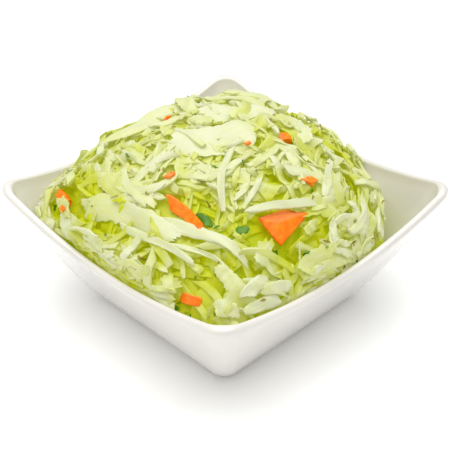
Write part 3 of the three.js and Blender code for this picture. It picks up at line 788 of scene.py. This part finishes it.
def picked(rows, stiff):
    """The sizes of chosen pieces, as the scattered ones have them. The bow is the height of a flat arc over
    the line from start to end, which gives the arc's curl and length."""
    parts = [np.array(part, float) for part in zip(*rows)]
    start, end, width, thick, bow, roll, twist, rise, wave, rag, tone = parts
    chord = np.linalg.norm(end - start, axis=1)
    heading = np.arctan2(end[:, 1] - start[:, 1], end[:, 0] - start[:, 0])
    straight = np.abs(bow) < STRAIGHT
    arc_height = np.where(straight, STRAIGHT, bow)
    radius = (chord ** 2 / 4 + arc_height ** 2) / (2 * np.abs(arc_height))
    length = np.where(straight, chord, 2 * radius * np.arcsin(np.minimum(chord / (2 * radius), 1)))
    middle = (start + end) / 2 + (bow * 2 / 3)[:, None] * np.stack([-np.sin(heading), np.cos(heading)], 1)
    flat = np.zeros(len(rows))
    return {
        "x": middle[:, 0],
        "y": middle[:, 1],
        "heading": heading,
        "length": length,
        "width": width[:, 0],
        "end_width": width[:, 1] / width[:, 0],
        "thick": thick,
        "curl": -np.sign(bow) / radius,
        "sway": flat,
        "tilt": (rise[:, 1] - rise[:, 0]) / length,
        "roll": roll,
        "twist": twist,
        "arch": flat + 0.01,
        "wave": wave,
        "phase": 2.4 * np.arange(len(rows)),
        "tone": tone,
        "stiff": np.where(np.abs(rise).max(1) > STANDING, 1.0, stiff),
        "point": flat + 0.5,
        "rag": rag,
        "cup": flat,
    }


def hold_up(points, heights):
    """Raises the relief to points that stand some height off the heap, so that what falls later lies on
    them."""
    column, row = map_cells(points[..., 0], points[..., 1])
    np.maximum.at(relief, (column, row), heights)


def carrot_piece(name, pieces, heights):
    """One mesh of carrot strips, cut as the cabbage is, but with blunt ends and crisp edges."""
    pieces = {**pieces, "point": BLUNT_END + 0 * pieces["x"]}
    points, uv, height = cut_points(pieces, heights, 9)
    hold_up(points, height)
    piece = mesh_piece(name, points.reshape(-1, 3), strip_faces(*height.shape), uv=uv.reshape(-1, 2))
    piece.data.set_sharp_from_angle(angle=math.radians(SHARP_CARROT))
    piece.data.materials.append(carrot_finish)
    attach(piece, "root")
    return piece


carrot_finish = wet_carrot()
wedge_points = rounded_chunk(np.array(WEDGE_CORNERS, float), WEDGE_TURNS, WEDGE_RISES, WEDGE_SHARPNESS)
wedge_rings = WEDGE_RISES - 2
wedge = mesh_piece(
    "carrot_wedge_cut",
    wedge_points,
    skin_faces(wedge_rings, WEDGE_TURNS),
    end_fans(wedge_rings, WEDGE_TURNS),
)
wedge.data.materials.append(carrot_finish)
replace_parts(wedge, "carrot_wedge")
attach(wedge, "root")
wedge_x, wedge_y, wedge_z = wedge_points.T
hold_up(wedge_points, (wedge_z - heap_height(wedge_x, wedge_y)) * heap_normal(wedge_x, wedge_y)[:, 2])
for name, row in CARROT_STRIPS.items():
    strip = picked([row], 1.0)
    first, last = row[7]
    strip_rise = first + (last - first) * (fine_shares + 0.5) + STRIP_ARCH * (1 - 4 * fine_shares ** 2)
    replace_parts(carrot_piece(name + "_cut", strip, strip_rise[None]), name)

# Loose shreds and leaf bits
# Tossed in dressing and heaped by hand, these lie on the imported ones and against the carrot: strips, thick
# bits of rib, thin ragged bits of leaf, and a few bits of the green outer leaf.
LEAF_THICK = 1.0
LEAF_WIDTH = 4.9
# Rows of the green bits that show most, as the carrot strips' rows
GREEN_BITS = (
    ((21, -40.5), (27.5, -39), (5, 3.5), 0.8, 0, 0.0, 0.2, (0, 0), 0.3, 0.12, 0.7),
    ((43, -36.5), (48, -30.5), (4.5, 3.5), 0.8, 0, 0.0, 0.2, (0, 0), 0.3, 0.12, 0.6),
    ((50, -53), (54.5, -49), (4, 3.5), 0.8, 0, 0.0, 0.2, (0, 0), 0.3, 0.12, 0.8),
    ((44, -67), (51, -64), (4, 3.5), 0.8, 0, 0.0, 0.2, (0, 0), 0.3, 0.12, 0.8),
)
loose = scattered(760, (6, 30), (1.8, 4.4), (0.7, 1.3), 0.012, 0.08, (0.34, 0.2), rag=0.08, stiff=0.45)
ribs = scattered(120, (6, 18), (2.6, 4.6), (1.6, 2.4), 0.008, 0.08, (0.12, 0.1), rag=0.06, stiff=0.75)
leaves = scattered(
    360, (6, 20), (4.5, 11.0), (0.6, 1.0), 0.01, 0.1, (0.4, 0.22), rag=0.13, cup=0.06, stiff=0.4,
)
greens = pushed_in(merged(
    scattered(34, (4, 9), (2, 4), (0.5, 0.8), 0.01, 0.05, (0.5, 0.3), rag=0.2, stiff=0.3),
    picked(GREEN_BITS, 0.3),
))
green_heights = lay_down(greens)
fallen = pushed_in(merged(loose, ribs, leaves))
fallen_heights = lay_down(fallen)

# Pieces that the eye picks out
# The long leaf across the front, the loop down from the top and their like: the same cabbage, lying last and
# uppermost, with crumbs of carrot. Their rows are as the carrot strips' rows.
PICKED = (
    ((-38, 10), (-47, -32), (15, 3), 1.0, 0, -0.6, 0.1, (0, 4), 0.5, 0.05, 0.3),
    ((-25, 6), (5, 24), (13, 10), 0.9, 0, 0.35, 0.1, (0, 0), 0.5, 0.05, 0.15),
    ((-13, -21), (11, 9), (14, 19), 0.8, 0, 0.22, 0.0, (0, 0), 0.7, 0.05, 0.15),
    ((-22, -1), (-13, 5), (8, 7), 2.4, 0, 0.1, 0.1, (0, 0), 0.2, 0.08, 0.45),
    ((-30, 31), (-11, 44), (5, 5), 1.2, 2, 0.5, 0.1, (1.5, 1.5), 0.2, 0.05, 0.3),
    ((-26, -58.5), (25, -51), (14, 9), 1.1, 1, 0.0, 0.0, (0, 0), 0.6, 0.12, 0.22),
    ((14, -53.5), (55, -39.5), (7, 3.2), 1.1, 0.8, 0.0, 0.1, (0, 0), 0.3, 0.08, 0.12),
    ((22, -58), (51, -48), (2.4, 2), 0.9, 1.5, 0.1, 0.2, (0, 0), 0.3, 0.08, 0.2),
    ((38.8, -27.8), (53.5, 4), (4.2, 3.6), 1.6, 1.5, 0.1, 0.2, (1.5, 0.5), 0.1, 0.06, 0.05),
    ((3, 13), (33, -34), (3.2, 4), 1.3, -5, 0.2, 0.3, (0, 0), 0.2, 0.06, 0.15),
    ((-4, 33), (-8, 46), (9, 2), 0.9, 0, 0.5, 0.2, (-1, 8), 0.4, 0.08, 0.3),
    ((-42, 12.5), (-27, 9), (7, 7), 1.0, 0, 0.4, 0.6, (6, 0), 0.5, 0.08, 0.4),
    ((-36, 22), (-10, 35), (4.4, 4), 1.3, 0, 0.1, 0.3, (2, 1), 0.3, 0.06, 0.35),
    ((-19, -43), (3.5, -30), (3.8, 3.6), 1.4, -11, 0.1, 0.1, (0, 0), 0.1, 0.05, 0.3),
    ((4, 35), (24, 25), (7, 7.5), 1.1, 0, 0.6, 0.3, (0, 0), 0.5, 0.1, 0.3),
    ((51, 20), (60, 21), (3.4, 3), 1.2, 1, 0.1, 0.3, (0, 0), 0.2, 0.06, 0.2),
    ((53, 4), (63, 1), (3.6, 3), 1.2, 0, 0.1, 0.3, (0, 0), 0.2, 0.06, 0.15),
    ((34, 33), (49, 9), (3.4, 3.8), 1.2, 0, 0.1, 0.4, (0, 0), 0.2, 0.06, 0.2),
    ((40, 36), (48, 52), (3.4, 3), 1.2, 0, 0.1, 0.4, (0, 0), 0.2, 0.06, 0.3),
    ((55, 12), (62, 26), (7, 11), 0.9, 0, 0.0, 0.2, (0, 0), 0.7, 0.16, 0.2),
    ((-3, -60.5), (38, -52), (3.6, 3), 1.2, 0, 0.1, 0.2, (0, 0), 0.2, 0.06, 0.15),
    ((11, -54.5), (9.5, -66.5), (4, 4.8), 1.2, 0, 0.1, 0.2, (0, 0), 0.2, 0.06, 0.15),
    ((54.5, -58), (62, -54.5), (8, 6), 1.0, 0, -0.2, 0.2, (0, 0), 0.5, 0.1, 0.3),
    ((46, -48), (60, -52.5), (5, 8), 1.0, 0, 0.1, 0.2, (0, 0), 0.4, 0.08, 0.35),
    ((60, -21), (66.5, 4), (9, 12), 0.9, 0, 0.0, 0.1, (0, 0), 0.5, 0.07, 0.6),
    ((50, 29), (61, 12), (4, 3), 1.2, 3, 0.1, 0.3, (0, 0), 0.2, 0.06, 0.2),
    ((62, -52), (66, -36), (5, 6), 1.8, 0, 0.0, 0.1, (0, 0), 0.2, 0.05, 0.1),
    ((57, -38), (62.5, -49), (5, 6.5), 1.8, 0, 0.0, 0.1, (0, 0), 0.3, 0.06, 0.15),
    ((58, -41), (67.5, -30), (5, 6), 1.6, 0, 0.1, 0.1, (0, 0), 0.3, 0.06, 0.2),
    ((-58, -42), (-56, -51), (7, 5), 1.2, 0, 0.3, 0.2, (1.5, 0), 0.4, 0.1, 0.5),
    ((-40, -56), (-30, -63), (8, 6), 1.1, 0, 0.3, 0.2, (1, 0), 0.4, 0.1, 0.55),
    ((-26, -46), (-12, -52), (11, 9), 1.0, 0, 0.1, 0.2, (0, 0), 0.5, 0.08, 0.75),
    ((-28, -54), (-21, -63), (8, 7), 1.0, 0, 0.1, 0.2, (0, 0), 0.5, 0.1, 0.45),
)
CARROT_CRUMBS = (
    ((42.5, 6.5), (43.2, 11.5), (4.5, 2.5), 1.8, 0, 0.0, 0.3, (0, 0), 0.0, 0.1, 0.5),
    ((37, 51.5), (39.5, 53.5), (3, 3), 1.5, 0, 0.0, 0.3, (0, 0), 0.0, 0.1, 0.7),
    ((3.4, -38), (3.7, -34.5), (2.6, 2.2), 1.5, 0, 0.0, 0.3, (0, 0), 0.0, 0.1, 0.5),
    ((-36, -5), (-35.5, -0.8), (2, 1.6), 1.2, 0, 0.0, 0.3, (0, 0), 0.0, 0.1, 0.8),
    ((14.2, -1.3), (14.6, 1.2), (1.8, 1.6), 1.2, 0, 0.0, 0.3, (0, 0), 0.0, 0.1, 0.6),
    ((-36.5, -59.2), (-34, -60.4), (2.2, 2), 1.2, 0, 0.0, 0.3, (0, 0), 0.0, 0.1, 0.6),
)
chosen_shreds = picked(PICKED, 0.5)
chosen_heights = lay_down(chosen_shreds)
crumbs = picked(CARROT_CRUMBS, 0.5)
carrot_piece("carrot_crumbs", crumbs, lay_down(crumbs))

# Balls round the green bits and the pieces of carrot that show most, as middle and radius. No loose piece may
# cover them from the camera.
GREEN_VIEWS = (
    (24.5, -39.5, 82, 3.2), (46, -33, 81, 3.2), (52, -51, 68, 3.0), (47.5, -65.5, 52, 3.0),
)
CARROT_VIEWS = (
    (51, -15, 76.5, 7.2), (13, -44.5, 83, 4.0), (21, -45, 82, 4.5), (29, -46, 80, 4.0), (-47, -57, 61, 5.5),
    (40.5, -63.8, 57, 3.5), (46, -61, 57, 3.5), (18, 22, 92, 3.8),
)
# The crests: the highest that the relief is within some cells around
CREST_CELLS = range(-4, 5)
crest = relief.copy()
for shift in CREST_CELLS:
    crest = np.maximum(crest, np.roll(relief, shift, 0))
for shift in CREST_CELLS:
    crest = np.maximum(crest, np.roll(crest, shift, 1))
# A fallen piece counts as leaf where it is thinner and wider than these limits
is_leaf = (fallen["thick"] < LEAF_THICK) & (fallen["width"] > LEAF_WIDTH)
strips, strip_heights = chosen(fallen, ~is_leaf), fallen_heights[~is_leaf, ::FINE]
bits, bit_heights = chosen(fallen, is_leaf), fallen_heights[is_leaf, ::FINE]
wet_cabbage = cabbage("wet cut cabbage", "#CACCB2", "#C4C88C", "#BABE52", "#AEB40C", 0.35)
cut_piece("packed_shreds", packed, packed_heights[:, ::FINE], 4, wet_cabbage)
cut_piece("loose_shreds", strips, strip_heights, 4, wet_cabbage, CARROT_VIEWS + GREEN_VIEWS)
cut_piece("leaf_bits", bits, bit_heights, 7, wet_cabbage, CARROT_VIEWS + GREEN_VIEWS)
# The picked pieces take only a small share of the painted shade
cut_piece("picked_shreds", chosen_shreds, chosen_heights, 9, wet_cabbage, painted_shade_share=0.15)
outer_leaf = cabbage("outer leaf", "#A6BC3C", "#7FA01E", "#4F8210", "#3E7208", 0.4)
cut_piece("green_bits", greens, green_heights[:, ::FINE], 4, outer_leaf, CARROT_VIEWS)

# Herbs
# Dried dill and parsley rubbed into the dressing: slivers about a millimetre wide, stuck on the wet shreds.


def dried_herb():
    """Dried herb: dull olive and green leaf with no gloss, so that it stays dark among the wet shreds."""
    made, tree, output = material("dried herb")
    tone = node(tree, "ShaderNodeAttribute", {"attribute_name": "tone"}).outputs["Fac"]
    colour = ramp(tree, tone, (0.0, "#8E8420"), (0.55, "#A0922C"), (0.8, "#5E8C24"), (1.0, "#3C7A1C"))
    leaf = node(tree, "ShaderNodeBsdfPrincipled", Base_Color=colour, Roughness=0.55)
    tree.links.new(leaf.outputs["BSDF"], output.inputs["Surface"])
    return made


slivers = scattered(120, (0.9, 2.8), (0.6, 1.3), (0.2, 0.35), 0.1, 0.0, (0.45, 0.35), rag=0.3, stiff=0.2)
slivers = pushed_in(slivers)
sliver_heights = lay_down(slivers)
cut_piece("herb_slivers", slivers, sliver_heights[:, ::FINE], 4, dried_herb(), CARROT_VIEWS)

# Table, light and camera
# A white table under soft light from above and from the left, seen along the bowl's diagonal.
TABLE_HALF = 2000
LIGHT_AIM = (0, 0, 0.05)
CAMERA_LENS = 112.9
CAMERA_SHIFT = -0.041


def white_table():
    """A matt white table top with a faint glow, which keeps it near white beyond the bowl's shadow."""
    made, tree, output = material("white table")
    coat = node(tree, "ShaderNodeBsdfPrincipled", Base_Color=linear("#FAFAFA"), Roughness=1.0,
                Specular_IOR_Level=0.0, Emission_Color=(1, 1, 1, 1), Emission_Strength=0.08)
    tree.links.new(coat.outputs["BSDF"], output.inputs["Surface"])
    return made


table_corners = np.array([[-1, -1, 0], [1, -1, 0], [1, 1, 0], [-1, 1, 0]]) * TABLE_HALF
table = mesh_piece("table", table_corners, [[0, 1, 2, 3]])
table.data.materials.append(white_table())


def soft_light(name, place, size, power, colour):
    """A square area light, placed in metres, that faces the heap."""
    lamp = bpy.data.lights.new(name, "AREA")
    lamp.color = colour
    lamp.shape = "SQUARE"
    lamp.size = size
    lamp.energy = power
    made = bpy.data.objects.new(name, lamp)
    made.location = place
    away = np.array(place) - np.array(LIGHT_AIM)
    away = away / np.linalg.norm(away)
    side = np.cross((0, 1, 0), away)
    side = side / np.linalg.norm(side)
    made.rotation_euler = Matrix(np.stack([side, np.cross(away, side), away], 1)).to_euler()
    bpy.context.scene.collection.objects.link(made)
    return made


to_front = np.array([to_camera[0], to_camera[1], 0]) / math.cos(CAMERA_RISE)
soft_light("overhead light", (0.0, 0.0, 1.1), 1.5, 17.0, (1, 1, 1))
soft_light("left light", -0.8 * to_right + 0.5 * to_front + (0, 0, 0.5), 0.5, 0.9, (1, 0.95, 0.9))

world = bpy.data.worlds.new("studio")
world.use_nodes = True
world.node_tree.nodes["Background"].inputs["Color"].default_value = (0.98, 1, 0.96, 1)
world.node_tree.nodes["Background"].inputs["Strength"].default_value = 0.5
bpy.context.scene.world = world

camera_data = bpy.data.cameras.new("camera")
camera_data.lens = CAMERA_LENS
camera_data.sensor_width = 36
camera_data.shift_y = CAMERA_SHIFT
camera_data.clip_start = 0.01
camera = bpy.data.objects.new("camera", camera_data)
camera_axes = np.stack([to_right, np.cross(to_camera, to_right), to_camera], 1)
camera.matrix_world = Matrix.Translation(camera_place * MM) @ Matrix(camera_axes).to_4x4()
bpy.context.scene.collection.objects.link(camera)
bpy.context.scene.camera = camera

bpy.context.scene.view_settings.view_transform = "Standard"
